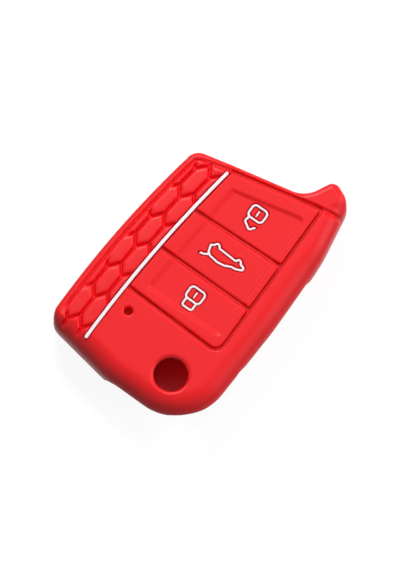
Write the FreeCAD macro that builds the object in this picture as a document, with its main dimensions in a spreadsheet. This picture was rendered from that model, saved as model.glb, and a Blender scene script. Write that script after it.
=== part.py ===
import FreeCAD, Part
import math
import os

import Sketcher
from FreeCAD import Vector

# Silicone cover for a folding car key, lying on its back with the buttons up.
# X runs across the cover, Y along it towards the ear at the key ring corner, and
# Z up from the back. The origin is the middle of the cover's box, on its underside.

doc = FreeCAD.newDocument("key_cover")
sheet = doc.addObject("Spreadsheet::Sheet", "Sheet")

# Driving sizes in millimetres, in the order of the pieces that they belong to.
SIZES = [
    ("case_length", 81.6),
    ("case_width", 52.6),
    ("case_height", 17.0),
    ("wall", 1.8),
    # Rounding of the rim where each side turns into the face, and into the back.
    ("top_crown", 1.8),
    ("ear_crown", 2.2),
    ("ear_side_crown", 5.0),
    ("side_crown", 6.2),
    ("end_crown", 6.0),
    ("left_crown", 2.2),
    ("back_crown", 3.0),
    ("side_back_crown", 9.5),
    ("end_back_crown", 9.0),
    ("corner_back_crown", 9.0),
    # Way out for the folded blade, and the mouth that its head swings in.
    ("slot_height", 5.0),
    ("slot_reach", 5.4),
    ("mouth_floor", 2.0),
    ("mouth_roof", 11.6),
    ("mouth_reach", 9.0),
    # Hole over the key's release button, and the pit over its pilot light with a thin skin below.
    ("release_hole_diameter", 9.4),
    ("light_pit_diameter", 3.0),
    ("light_skin", 0.4),
    # Button panel: grooves, the thin web at their bottom, and the pads.
    ("groove_width", 0.9),
    ("groove_depth", 1.1),
    ("rim_groove_radius", 8.0),
    ("web_thickness", 0.5),
    ("web_clearance", 0.15),
    ("pad_thickness", 2.6),
    ("pad_corner_radius", 0.5),
    ("panel_corner_radius", 2.4),
    ("dish_depth", 0.55),
    ("dish_slope", 1.3),
    # White stripe beside the panel.
    ("stripe_width", 1.1),
    ("stripe_depth", 0.8),
    ("stripe_bow", 1.2),
    ("stripe_clearance", 0.12),
    ("stripe_lap", 0.05),
    ("stripe_gap", 0.3),
    # Honeycomb relief between the stripe and the left edge.
    ("comb_pitch", 4.9),
    ("comb_row_pitch", 9.2),
    ("comb_straight", 6.0),
    ("comb_width", 10.0),
    ("comb_groove", 0.7),
    ("comb_depth", 0.5),
    # White symbols on the pads.
    ("symbol_line", 0.65),
    ("symbol_depth", 0.45),
    ("symbol_clearance", 0.12),
    ("lock_width", 4.75),
    ("lock_height", 3.8),
    ("lock_radius", 1.1),
    ("lock_slit", 0.5),
    ("lock_slit_height", 1.9),
    ("boot_length", 11.4),
    ("boot_height", 4.3),
    ("boot_radius", 0.35),
    ("shackle_radius", 0.6),
    # How far a cutting tool passes the surface that it opens.
    ("overrun", 2.0),
]
for row, (alias, value) in enumerate(SIZES, 1):
    sheet.set(f"A{row}", alias)
    sheet.set(f"B{row}", str(value))
    sheet.setAlias(f"B{row}", alias)
doc.recompute()

# Outline corners as shares of the width and length, clockwise from the upper left,
# each with how much of its shorter side the bend takes and with the sizes of the rim on
# the side after it.
OUTLINE = [
    ((-0.3945, 0.3205), 0.091, "top_crown", "back_crown"),
    ((0.2245, 0.4040), 0.396, "top_crown", "back_crown"),
    ((0.3085, 0.5085), 0.299, "ear_crown", "back_crown"),
    ((0.4390, 0.4725), 0.440, "ear_side_crown", "back_crown"),
    ((0.4985, 0.2425), 0.254, "side_crown", "side_back_crown"),
    ((0.5045, -0.0335), 0.076, "side_crown", "side_back_crown"),
    ((0.4745, -0.5055), 0.545, "end_crown", "end_back_crown"),
    ((-0.0720, -0.4995), 0.111, "end_crown", "corner_back_crown"),
    ((-0.5000, -0.4510), 0.205, "left_crown", "back_crown"),
    ((-0.4945, -0.0605), 0.755, "left_crown", "back_crown"),
]
# Most of the height that the rounding of the upper rim and of the back may take.
UPPER_RIM_SHARE = 0.40
BACK_RIM_SHARE = 0.56
# Most of a corner's radius in plan that the rounding of a rim may take there.
CORNER_SHARE = 0.8
# Least inner rounding, as a share of the wall.
INNER_SHARE = 0.3

# Places of the holes, as shares of the width and length.
RELEASE_HOLE_SHARES = (0.2086, -0.3684)
LIGHT_PIT_SHARES = (-0.1730, -0.2725)
# Lower end of the blade slot and how much of the length it takes.
SLOT_START_SHARE = -0.2200
SLOT_LENGTH_SHARE = 0.4000
# How much of the length the mouth takes on the side, and of the width on the end.
MOUTH_SIDE_SHARE = 0.2950
MOUTH_END_SHARE = 0.5700

# Corners of the three button cells on the middle of the grooves round them, from the
# upper left clockwise, as shares of the width and length.
CELL_SHARES = {
    "unlock": [(-0.1920, 0.3245), (0.3440, 0.3985), (0.3440, 0.1550), (-0.2160, 0.1450)],
    "boot": [(-0.2160, 0.1450), (0.3440, 0.1550), (0.3440, -0.0295), (-0.2440, -0.0270)],
    "lock": [(-0.2440, -0.0270), (0.3440, -0.0295), (0.3440, -0.2150), (-0.2625, -0.2020)],
}
PANEL_SHARES = CELL_SHARES["unlock"][:2] + CELL_SHARES["lock"][2:]
# Shallow dish across the three buttons.
DISH_SHARES = [(-0.1220, 0.2790), (0.3025, 0.3405), (0.3025, -0.1705), (-0.1790, -0.1705)]
# Groove that sets the upper rim off from the face, from left to right.
RIM_GROOVE_SHARES = [
    (-0.4105, 0.2780),
    (-0.3290, 0.3035),
    (-0.1920, 0.3245),
    (0.3440, 0.3985),
    (0.4925, 0.4150),
]
# Upper and lower end of the stripe.
STRIPE_SHARES = [(-0.1785, 0.3175), (-0.2730, -0.4340)]
# Honeycomb: the middle of its first row and its lower end, along the length.
COMB_FIRST_SHARE = 0.2265
COMB_END_SHARE = -0.4255
COMB_ROWS = 6
# The first straight groove left of the stripe, as a share of the comb's pitch.
COMB_START_SHARE = 0.54

# Middle of each symbol, as shares of the width and length.
SYMBOL_SHARES = {
    "unlock": (0.0800, 0.2585),
    "boot": (0.0815, 0.0680),
    "lock": (0.0665, -0.0950),
}
# Padlock body and shackles, from the padlock's middle, as shares of its width and height.
LOCK_BODY_SHARES = [(-0.5, -0.5), (0.5, -0.5), (0.5, 0.5), (-0.5, 0.5)]
OPEN_SHACKLE_SHARES = [(-0.316, -0.500), (-0.404, -0.929), (0.114, -1.350), (0.328, -0.995)]
SHUT_SHACKLE_SHARES = [(-0.345, -0.500), (-0.345, -1.124), (0.337, -1.124), (0.337, -0.500)]
# Car with its boot lid raised, from the symbol's middle, as shares of its length and height.
BOOT_SHARES = [
    (-0.498, 0.198),
    (-0.417, 0.326),
    (-0.386, 0.500),
    (-0.316, 0.500),
    (-0.263, 0.314),
    (0.237, 0.244),
    (0.272, 0.430),
    (0.346, 0.430),
    (0.382, 0.244),
    (0.487, 0.186),
    (0.504, -0.012),
    (0.342, -0.198),
    (0.237, -0.221),
    (0.070, -0.430),
    (-0.123, -0.500),
    (-0.364, -0.407),
    (-0.443, -0.244),
    (-0.474, 0.035),
]
BOOT_LID_SHARES = [(-0.404, -0.384), (-0.509, -0.556), (-0.598, -0.612)]
# How much of a line's half width its round ends take.
ROUND_END_SHARE = 0.95
# Most that an upright edge may lean, as a share of its length.
LEAN_SHARE = 0.001


def size(alias):
    """The sheet's value for a named size."""
    return float(sheet.get(alias))


def place(shares):
    """A point on the plan from its shares of the width and length."""
    return Vector(shares[0] * size("case_width"), shares[1] * size("case_length"), 0)


def bind(thing, **expressions):
    """Binds an object's properties to expressions on the sheet."""
    for name, expression in expressions.items():
        thing.setExpression(name.replace("_at_", ".Base."), expression)
    return thing


def plan_sketch(name, shares):
    """Closed outline whose corners stay at their shares of the width and length."""
    sketch = doc.addObject("Sketcher::SketchObject", name)
    corners = [place(pair) for pair in shares]
    for start, end in zip(corners, corners[1:] + corners[:1]):
        sketch.addGeometry(Part.LineSegment(start, end), False)
    for line in range(len(corners)):
        following = (line + 1) % len(corners)
        sketch.addConstraint(Sketcher.Constraint("Coincident", line, 2, following, 1))
    for line, pair in enumerate(shares):
        across = sketch.addConstraint(
            Sketcher.Constraint("DistanceX", -1, 1, line, 1, corners[line].x)
        )
        along = sketch.addConstraint(
            Sketcher.Constraint("DistanceY", -1, 1, line, 1, corners[line].y)
        )
        sketch.setExpression(f"Constraints[{across}]", f"Sheet.case_width * ({pair[0]})")
        sketch.setExpression(f"Constraints[{along}]", f"Sheet.case_length * ({pair[1]})")
    doc.recompute()
    return sketch


def moved_outline(name, sketch, distance):
    """The sketch's outline moved out by a distance, with sharp corners kept sharp."""
    outline = doc.addObject("Part::Offset2D", name)
    outline.Source = sketch
    outline.Join = "Intersection"
    return bind(outline, Value=distance)


def raised(name, outline, floor, height):
    """The outline raised straight up from its floor."""
    block = doc.addObject("Part::Extrusion", name)
    block.Base = outline
    block.DirMode = "Custom"
    block.Dir = Vector(0, 0, 1)
    block.Solid = True
    bind(block, LengthFwd=height, Placement_at_z=floor)
    doc.recompute()
    return block


def rounded(name, base, choose):
    """The base with the edges rounded for which choose gives a radius for both ends."""
    fillet = doc.addObject("Part::Fillet", name)
    fillet.Base = base
    edges = []
    for number, edge in enumerate(base.Shape.Edges, 1):
        radii = choose(edge)
        if radii:
            edges.append((number, *radii))
    fillet.Edges = edges
    doc.recompute()
    return fillet


def is_upright(edge):
    """Whether an edge runs straight up."""
    run = edge.Vertexes[-1].Point - edge.Vertexes[0].Point
    return math.hypot(run.x, run.y) < LEAN_SHARE * abs(run.z)


def cut(name, base, *tools):
    """The base less its tools, one after another."""
    for number, tool in enumerate(tools, 1):
        part = doc.addObject("Part::Cut", f"{name}_{number}")
        part.Base = base
        part.Tool = tool
        base = part
    doc.recompute()
    base.Label = name
    return base


def made(name, shape):
    """A document object that holds a shape made by this script."""
    thing = doc.addObject("Part::Feature", name)
    thing.Shape = shape
    return thing


def slab(face, floor, roof):
    """A face raised from floor to roof."""
    solid = face.extrude(Vector(0, 0, roof - floor))
    solid.translate(Vector(0, 0, floor))
    return solid


def side_distance(point, start, end):
    """Distance in plan from a point to a side."""
    run = end - start
    share = max(0, min(1, (point - start).dot(run) / run.dot(run)))
    return (point - start - run * share).Length


def outline_sides(corners):
    """Start and end of each side of a closed outline."""
    return list(zip(corners, corners[1:] + corners[:1]))


# Outer form of the sleeve and the hollow for the key.


def plan_radius(corner):
    """Radius of an outline corner in plan, from how much of its shorter side the bend takes."""
    here = outer_corners[corner]
    before = here - outer_corners[corner - 1]
    after = outer_corners[(corner + 1) % len(outer_corners)] - here
    reach = OUTLINE[corner][1] * min(before.Length, after.Length)
    return reach / math.tan(before.getAngle(after) / 2)


def is_hollow(corners, number):
    """Whether a clockwise outline turns left at a corner."""
    before = corners[number] - corners[number - 1]
    after = corners[(number + 1) % len(corners)] - corners[number]
    return before.cross(after).z > 0


def corner_radii(corners, inset):
    """Chooses the plan radius of each upright edge from the outline corner that it stands on."""

    def choose(edge):
        if not is_upright(edge):
            return None
        foot = edge.Vertexes[0].Point
        foot.z = 0
        nearest = min(range(len(corners)), key=lambda i: (corners[i] - foot).Length)
        hollow = is_hollow(corners, nearest)
        radius = plan_radius(nearest) + (inset if hollow else -inset)
        radius = max(radius, INNER_SHARE * size("wall"))
        return radius, radius

    return choose


def rim_radii(corners, middle, inset):
    """Chooses the rim radius at both ends of each rim edge from the side that the end lies on."""
    sides = outline_sides(corners)
    height = size("case_height") - 2 * inset

    def at(point, upper):
        flat = Vector(point.x, point.y, 0)
        nearest = min(range(len(sides)), key=lambda i: side_distance(flat, *sides[i]))
        radius = size(OUTLINE[nearest][2 if upper else 3]) - inset
        most = height * (UPPER_RIM_SHARE if upper else BACK_RIM_SHARE)
        corner = min(range(len(corners)), key=lambda i: (corners[i] - flat).Length)
        if not is_hollow(corners, corner):
            most = min(most, CORNER_SHARE * (plan_radius(corner) - inset))
        return max(min(radius, most), INNER_SHARE * size("wall"))

    def choose(edge):
        start = edge.valueAt(edge.FirstParameter)
        end = edge.valueAt(edge.LastParameter)
        if abs(start.z - end.z) > middle:
            return None
        upper = start.z > middle
        return at(start, upper), at(end, upper)

    return choose


def smooth_form(name, outline, corners, floor, height, inset):
    """The outline raised, with its corners rounded in plan and its rims rounded over."""
    block = raised(f"{name}_block", outline, floor, height)
    corners_done = rounded(f"{name}_corners", block, corner_radii(corners, inset))
    middle = size("case_height") / 2
    return rounded(f"{name}_form", corners_done, rim_radii(corners, middle, inset))


def inset_corners(shape):
    """Corners of an outline's shape, in the order of the sleeve's own corners."""
    points = [vertex.Point for vertex in shape.Vertexes]
    return [min(points, key=lambda p: (p - corner).Length) for corner in outer_corners]


sleeve_outline = plan_sketch("sleeve_outline", [row[0] for row in OUTLINE])
outer_corners = [place(row[0]) for row in OUTLINE]
sleeve_form = smooth_form(
    "sleeve", sleeve_outline, outer_corners, "0", "Sheet.case_height", 0
)
hollow_outline = moved_outline("hollow_outline", sleeve_outline, "-Sheet.wall")
doc.recompute()
hollow_form = smooth_form(
    "hollow",
    hollow_outline,
    inset_corners(hollow_outline.Shape),
    "Sheet.wall",
    "Sheet.case_height - 2 * Sheet.wall",
    size("wall"),
)

# Slot along the right side, and the mouth round the corner at the blade's pivot.
blade_slot = bind(
    doc.addObject("Part::Box", "blade_slot"),
    Length="Sheet.slot_reach + Sheet.overrun",
    Width=f"Sheet.case_length * {SLOT_LENGTH_SHARE}",
    Height="Sheet.slot_height",
    Placement_at_x="Sheet.case_width / 2 - Sheet.slot_reach",
    Placement_at_y=f"Sheet.case_length * ({SLOT_START_SHARE})",
    Placement_at_z="(Sheet.case_height - Sheet.slot_height) / 2",
)
mouth_side = bind(
    doc.addObject("Part::Box", "mouth_side"),
    Length="Sheet.mouth_reach + Sheet.overrun",
    Width=f"Sheet.case_length * {MOUTH_SIDE_SHARE} + Sheet.overrun",
    Height="Sheet.mouth_roof - Sheet.mouth_floor",
    Placement_at_x="Sheet.case_width / 2 - Sheet.mouth_reach",
    Placement_at_y="-Sheet.case_length / 2 - Sheet.overrun",
    Placement_at_z="Sheet.mouth_floor",
)
mouth_end = bind(
    doc.addObject("Part::Box", "mouth_end"),
    Length=f"Sheet.case_width * {MOUTH_END_SHARE} + Sheet.overrun",
    Width="Sheet.mouth_reach + Sheet.overrun",
    Height="Sheet.mouth_roof - Sheet.mouth_floor",
    Placement_at_x=f"Sheet.case_width / 2 - Sheet.case_width * {MOUTH_END_SHARE}",
    Placement_at_y="-Sheet.case_length / 2 - Sheet.overrun",
    Placement_at_z="Sheet.mouth_floor",
)


def face_hole(name, diameter, shares, floor):
    """A round hole in the face, down to a height above the hollow's roof."""
    return bind(
        doc.addObject("Part::Cylinder", name),
        Radius=f"Sheet.{diameter} / 2",
        Height=f"Sheet.wall - ({floor}) + Sheet.overrun",
        Placement_at_x=f"Sheet.case_width * ({shares[0]})",
        Placement_at_y=f"Sheet.case_length * ({shares[1]})",
        Placement_at_z=f"Sheet.case_height - Sheet.wall + ({floor})",
    )


release_hole = face_hole(
    "release_hole", "release_hole_diameter", RELEASE_HOLE_SHARES, "-Sheet.overrun"
)
light_pit = face_hole("light_pit", "light_pit_diameter", LIGHT_PIT_SHARES, "Sheet.light_skin")

# Lines on the face: closed and open outlines with round corners.


def rounded_wire(points, radii):
    """Closed wire through points, with an arc at each corner that has a radius."""
    stretches = []
    for i, point in enumerate(points):
        back = (points[i - 1] - point).normalize()
        ahead = (points[(i + 1) % len(points)] - point).normalize()
        half = back.getAngle(ahead) / 2
        reach = radii[i] / math.tan(half)
        bisector = back + ahead
        if radii[i] <= 0 or bisector.Length == 0:
            stretches.append((point, None, point))
            continue
        bisector.normalize()
        top = point + bisector * (radii[i] / math.sin(half) - radii[i])
        stretches.append((point + back * reach, top, point + ahead * reach))
    edges = []
    for i, (start, top, end) in enumerate(stretches):
        if top:
            edges.append(Part.Arc(start, top, end).toShape())
        edges.append(Part.LineSegment(end, stretches[(i + 1) % len(stretches)][0]).toShape())
    return Part.Wire(edges)


def sideways(points, distance, closed):
    """Points moved to the left of their path, so that each stretch stays parallel to itself."""
    moved = []
    for i, point in enumerate(points):
        ways = []
        if closed or i > 0:
            ways.append((point - points[i - 1]).normalize())
        if closed or i < len(points) - 1:
            ways.append((points[(i + 1) % len(points)] - point).normalize())
        lefts = [Vector(-way.y, way.x, 0) for way in ways]
        lean = 1 + lefts[0].dot(lefts[-1])
        moved.append(point + (lefts[0] + lefts[-1]) * (distance / lean))
    return moved


def bend_radii(points, radius, distance, closed):
    """Radius at each corner of a path that lies at a distance to the left of a round one."""
    radii = []
    for i in range(len(points)):
        if not closed and i in (0, len(points) - 1):
            radii.append(ROUND_END_SHARE * abs(distance))
            continue
        before = points[i] - points[i - 1]
        after = points[(i + 1) % len(points)] - points[i]
        turns_left = before.cross(after).z > 0
        radii.append(max(0, radius - distance if turns_left else radius + distance))
    return radii


def line_face(points, width, radius, closed=False):
    """A drawn line of a width along points, with round bends, and round ends if it is open."""
    half = width / 2
    left = sideways(points, half, closed)
    right = sideways(points, -half, closed)
    left_radii = bend_radii(points, radius, half, closed)
    right_radii = bend_radii(points, radius, -half, closed)
    if not closed:
        return Part.Face(rounded_wire(left + right[::-1], left_radii + right_radii[::-1]))
    faces = [Part.Face(rounded_wire(side, radii)) for side, radii in
             ((left, left_radii), (right, right_radii))]
    faces.sort(key=lambda face: face.Area)
    return faces[1].cut(faces[0])


# The stripe, and the bands beside it that follow its bow.


def stripe_at(along):
    """Place on the stripe's centreline at a place along the length."""
    top, bottom = (place(pair) for pair in STRIPE_SHARES)
    share = (top.y - along) / (top.y - bottom.y)
    bow = 4 * size("stripe_bow") * share * (1 - share)
    return Vector(top.x + (bottom.x - top.x) * share - bow, along, 0)


def band_face(left, right, upper, lower):
    """Face between two offsets from the stripe's centreline and two places along the length."""
    ends = (upper, (upper + lower) / 2, lower)
    edges = []
    for offset, order in ((right, ends), (left, ends[::-1])):
        points = [stripe_at(along) + Vector(offset, 0, 0) for along in order]
        edges.append(Part.Arc(*points).toShape())
    first, second = edges
    across = Part.LineSegment(first.lastVertex(True).Point, second.firstVertex(True).Point)
    back = Part.LineSegment(second.lastVertex(True).Point, first.firstVertex(True).Point)
    return Part.Face(Part.Wire([first, across.toShape(), second, back.toShape()]))


roof = size("case_height")
clear_roof = roof + size("overrun")
stripe_top, stripe_bottom = (place(pair).y for pair in STRIPE_SHARES)
half_stripe = size("stripe_width") / 2
recess_half = half_stripe + size("stripe_clearance")
ledge_half = recess_half - size("stripe_lap")
pad_edge = recess_half + size("stripe_gap")
web_edge = pad_edge - size("web_clearance")
stripe_floor = roof - size("stripe_depth")


def stripe_band(half, margin, floor, top):
    """The stripe's strip at another half width, with round ends, reaching past its ends."""
    face = band_face(-half, half, stripe_top + margin, stripe_bottom - margin)
    solid = slab(face, floor, top)
    upright = [edge for edge in solid.Edges if is_upright(edge)]
    return solid.makeFillet(ROUND_END_SHARE * half, upright)


accent_stripe = made("accent_stripe", stripe_band(half_stripe, 0, stripe_floor, roof))
stripe_recess = made(
    "stripe_recess",
    stripe_band(recess_half, size("stripe_clearance"), stripe_floor, clear_roof),
)
deep_floor = roof - size("pad_thickness") - size("overrun")


def panel_side(half):
    """All that lies left of the button panel, up to a distance right of the stripe's middle."""
    face = band_face(
        -size("comb_width"), half, stripe_top + size("comb_width"), stripe_bottom
    )
    return slab(face, deep_floor, clear_roof)


ledge_side = made("ledge_side", panel_side(ledge_half))
web_side = made("web_side", panel_side(web_edge))
pad_side = made("pad_side", panel_side(pad_edge))

# Groove below the upper rim.
rim_groove = made(
    "rim_groove",
    slab(
        line_face(
            [place(pair) for pair in RIM_GROOVE_SHARES],
            size("groove_width"),
            size("rim_groove_radius"),
        ),
        roof - size("groove_depth"),
        clear_roof,
    ),
)

# Honeycomb grooves in long rows, which follow the stripe's bow.


def comb_walls():
    """Ends of each groove of the honeycomb, as offsets from the stripe and places along."""
    pitch = size("comb_pitch")
    row_pitch = size("comb_row_pitch")
    half = size("comb_straight") / 2
    columns = math.ceil(size("comb_width") / pitch) + 1
    first = COMB_FIRST_SHARE * size("case_length")
    for row in range(-1, COMB_ROWS + 1):
        middle = first - row * row_pitch
        stagger = pitch / 2 if row % 2 else 0
        for column in range(columns):
            across = stagger - (COMB_START_SHARE + column) * pitch
            below = middle - row_pitch + half
            yield (across, middle + half), (across, middle - half)
            yield (across, middle - half), (across - pitch / 2, below)
            yield (across, middle - half), (across + pitch / 2, below)


def comb_shape():
    """Honeycomb grooves and the border line on their left, kept between rim and end."""
    floor = roof - size("comb_depth")
    grooves = []
    for start, end in comb_walls():
        points = [stripe_at(along) + Vector(across, 0, 0) for across, along in (start, end)]
        grooves.append(slab(line_face(points, size("comb_groove"), 0), floor, clear_roof))
    lower = COMB_END_SHARE * size("case_length")
    left = -size("comb_width")
    half = size("comb_groove") / 2
    border = slab(band_face(left - half, left + half, stripe_top, lower), floor, clear_roof)
    field = slab(band_face(left, -ledge_half, stripe_top, lower), floor, clear_roof)
    below_rim = [place(pair) for pair in RIM_GROOVE_SHARES[:3]]
    below_rim.append(Vector(below_rim[-1].x, lower, 0))
    below_rim.append(Vector(-size("case_width"), lower, 0))
    below_rim.append(Vector(-size("case_width"), below_rim[0].y, 0))
    limit = slab(Part.Face(Part.makePolygon(below_rim + below_rim[:1])), floor, clear_roof)
    network = grooves[0].multiFuse(grooves[1:]).common(field)
    return network.fuse(border).common(limit)


comb_grooves = made("comb_grooves", comb_shape())

# Window for the buttons, with the web that closes the grooves.
panel_outline = plan_sketch("panel_outline", PANEL_SHARES)
window_outline = moved_outline("window_outline", panel_outline, "Sheet.groove_width / 2")
window_block = raised(
    "window_block",
    window_outline,
    "Sheet.case_height - Sheet.pad_thickness - Sheet.overrun / 2",
    "Sheet.pad_thickness + Sheet.overrun",
)
panel_corner = place(PANEL_SHARES[2])


def corner_rule(extra):
    """Rule that rounds upright edges, with a larger radius at the panel's lower right corner."""

    def radii(edge):
        if not is_upright(edge):
            return None
        point = edge.firstVertex().Point
        apart = math.hypot(point.x - panel_corner.x, point.y - panel_corner.y)
        at_corner = apart < size("groove_width")
        radius = size("panel_corner_radius" if at_corner else "pad_corner_radius") + extra
        return radius, radius

    return radii


window_rounded = rounded(
    "window_rounded",
    window_block,
    corner_rule(size("groove_width")),
)
window = cut("window", window_rounded, ledge_side)

web_layer = bind(
    doc.addObject("Part::Box", "web_layer"),
    Length="Sheet.case_width",
    Width="Sheet.case_length",
    Height="Sheet.web_thickness",
    Placement_at_x="-Sheet.case_width / 2",
    Placement_at_y="-Sheet.case_length / 2",
    Placement_at_z="Sheet.case_height - Sheet.groove_depth - Sheet.web_thickness",
)
web_sheet = doc.addObject("Part::Common", "web_sheet")
web_sheet.Base = window
web_sheet.Tool = web_layer

# Dish across the buttons, with sloping sides.
dish_outline = plan_sketch("dish_outline", DISH_SHARES)
dish_floor = moved_outline("dish_floor", dish_outline, "-Sheet.dish_slope")
bind(dish_outline, Placement_at_z="Sheet.case_height")
bind(dish_floor, Placement_at_z="-Sheet.dish_depth")
dish = doc.addObject("Part::Loft", "dish")
dish.Sections = [dish_outline, dish_floor]
dish.Solid = True
dish.Ruled = True
doc.recompute()

# White symbols, each with the pocket that it sits in.
symbol_roof = roof - size("dish_depth")
symbol_floor = symbol_roof - size("symbol_depth")


def symbol_points(name, shares, width, height):
    """Points of a symbol from its middle and its shares of a width and a height."""
    return [
        place(SYMBOL_SHARES[name]) + Vector(across * width, along * height, 0)
        for across, along in shares
    ]


def padlock(name, shackle_shares, line):
    """Faces of a padlock drawn in a line: its body's outline and its shackle."""
    sizes = size("lock_width"), size("lock_height")
    body = symbol_points(name, LOCK_BODY_SHARES, *sizes)
    shackle = symbol_points(name, shackle_shares, *sizes)
    return [
        line_face(body, line, size("lock_radius"), closed=True),
        line_face(shackle, line, size("shackle_radius")),
    ]


def keyhole(name, line):
    """Face of the upright slit in the middle of a padlock."""
    half = size("lock_slit_height") / 2
    points = [place(SYMBOL_SHARES[name]) + Vector(0, along, 0) for along in (half, -half)]
    return [line_face(points, line, 0)]


def boot(line):
    """Faces of a car drawn in a line, from the side, with its boot lid raised."""
    sizes = size("boot_length"), size("boot_height")
    car = line_face(
        symbol_points("boot", BOOT_SHARES, *sizes), line, size("boot_radius"), closed=True
    )
    lid = line_face(symbol_points("boot", BOOT_LID_SHARES, *sizes), line, size("boot_radius"))
    return [car, lid]


def drawn(faces, floor, top):
    """Solid of a drawing whose lines meet, between floor and top."""
    first, *others = (slab(face, floor, top) for face in faces)
    return first.multiFuse(others).removeSplitter() if others else first


SHACKLES = {"unlock": OPEN_SHACKLE_SHARES, "lock": SHUT_SHACKLE_SHARES}
DRAWINGS = {"boot_symbol": (boot, "symbol_line")}
for lock_name, shares in SHACKLES.items():
    DRAWINGS[f"{lock_name}_symbol"] = (
        lambda line, name=lock_name, shackle=shares: padlock(name, shackle, line),
        "symbol_line",
    )
    DRAWINGS[f"{lock_name}_symbol_slit"] = (
        lambda line, name=lock_name: keyhole(name, line),
        "lock_slit",
    )
symbols = {}
pockets = {name: [] for name in CELL_SHARES}
for symbol_name, (draw, line_alias) in DRAWINGS.items():
    line = size(line_alias)
    symbols[symbol_name] = made(symbol_name, drawn(draw(line), symbol_floor, symbol_roof))
    pocket_line = line + 2 * size("symbol_clearance")
    pocket = made(f"{symbol_name}_pocket", drawn(draw(pocket_line), symbol_floor, roof))
    pockets[symbol_name.split("_")[0]].append(pocket)

# Button pads, and the openings in the web that they stand in.
pads = {}
openings = []
for pad_name, cell in CELL_SHARES.items():
    cell_outline = plan_sketch(f"{pad_name}_cell", cell)
    pad_outline = moved_outline(f"{pad_name}_outline", cell_outline, "-Sheet.groove_width / 2")
    opening_outline = moved_outline(
        f"{pad_name}_opening_outline",
        cell_outline,
        "Sheet.web_clearance - Sheet.groove_width / 2",
    )
    solids = []
    for label, outline, inset in (
        (f"{pad_name}_pad", pad_outline, 0),
        (f"{pad_name}_opening", opening_outline, size("web_clearance")),
    ):
        block = raised(
            f"{label}_block",
            outline,
            "Sheet.case_height - Sheet.pad_thickness",
            "Sheet.pad_thickness",
        )
        solids.append(rounded(f"{label}_rounded", block, corner_rule(inset)))
    pads[f"{pad_name}_button"] = cut(
        f"{pad_name}_button", solids[0], pad_side, dish, *pockets[pad_name]
    )
    openings.append(cut(f"{pad_name}_opening", solids[1], web_side))

button_web = cut("button_web", web_sheet, *openings)
sleeve = cut(
    "sleeve",
    sleeve_form,
    hollow_form,
    blade_slot,
    mouth_side,
    mouth_end,
    release_hole,
    light_pit,
    window,
    rim_groove,
    stripe_recess,
    comb_grooves,
)

pieces = {
    "sleeve": sleeve,
    "button_web": button_web,
    "accent_stripe": accent_stripe,
    **pads,
    **symbols,
}
doc.recompute()
for thing in doc.Objects:
    if {"Invalid", "Error"} & set(thing.State):
        raise RuntimeError(f"{thing.Label} failed: {thing.State}")
os.makedirs("parts", exist_ok=True)
for node, piece in pieces.items():
    shape = piece.Shape
    if shape.isNull() or not shape.isValid():
        raise RuntimeError(f"{node} has no valid shape")
    if len(shape.Solids) != 1:
        raise RuntimeError(f"{node} is in {len(shape.Solids)} pieces")
    shape.Solids[0].exportStep(f"parts/{node}.step")
    box = shape.optimalBoundingBox(False)
    print(f"{node}: {shape.Volume:.1f} mm3, X {box.XMin:.2f} to {box.XMax:.2f},"
          f" Y {box.YMin:.2f} to {box.YMax:.2f}, Z {box.ZMin:.2f} to {box.ZMax:.2f}")
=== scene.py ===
import logging
import math
from collections.abc import Callable
from dataclasses import dataclass, field
from enum import Enum
from functools import partial

import bpy
import numpy as np
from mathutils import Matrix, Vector


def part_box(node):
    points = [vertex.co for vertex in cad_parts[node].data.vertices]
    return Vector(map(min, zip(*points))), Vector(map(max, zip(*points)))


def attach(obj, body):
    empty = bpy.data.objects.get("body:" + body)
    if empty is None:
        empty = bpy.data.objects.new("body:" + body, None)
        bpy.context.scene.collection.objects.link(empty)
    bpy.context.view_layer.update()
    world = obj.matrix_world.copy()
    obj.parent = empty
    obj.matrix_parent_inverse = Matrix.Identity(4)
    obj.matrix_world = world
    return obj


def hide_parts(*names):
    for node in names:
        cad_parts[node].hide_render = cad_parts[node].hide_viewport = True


# A red silicone cover for a folding car key. The CAD bodies give the frame and the motion.
# The moulded pieces are modelled again here as soft forms: each is a distance field in
# millimetres, negative inside the silicone, that is turned into a mesh.

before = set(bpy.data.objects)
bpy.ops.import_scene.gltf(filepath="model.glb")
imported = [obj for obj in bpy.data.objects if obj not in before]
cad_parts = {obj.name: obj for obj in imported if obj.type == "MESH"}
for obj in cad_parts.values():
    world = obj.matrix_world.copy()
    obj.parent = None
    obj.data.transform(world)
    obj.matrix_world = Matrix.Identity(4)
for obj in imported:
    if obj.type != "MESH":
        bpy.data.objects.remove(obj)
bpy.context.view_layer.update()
LOG = logging.getLogger("key_cover")

MM = 0.001
TINY = 1e-9
Array = np.ndarray
Field = Callable[[Array, Array, Array], Array]

# Sizes shared by several pieces, in millimetres.
WIDTH = 52.6
LENGTH = 81.6
ROOF = 17.0
WALL = 1.8
GROOVE = 0.9


class Body(Enum):
    """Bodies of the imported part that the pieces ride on."""

    COVER = "cover"
    UNLOCK = "unlock"
    BOOT = "boot"
    LOCK = "lock"


class Slot(Enum):
    """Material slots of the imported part."""

    RED = "red_silicone"
    WHITE = "white_silicone"


# Materials.


def linear(code: str) -> tuple[float, float, float, float]:
    """Turns an sRGB colour into the linear one that shaders take.

    Args:
        code: Colour as six hex digits.

    Returns:
        Red, green, blue and alpha, linear.
    """
    channels = [int(code[i : i + 2], 16) / 255 for i in (0, 2, 4)]
    red, green, blue = (
        c / 12.92 if c <= 0.04045 else ((c + 0.055) / 1.055) ** 2.4 for c in channels
    )
    return red, green, blue, 1.0


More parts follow.
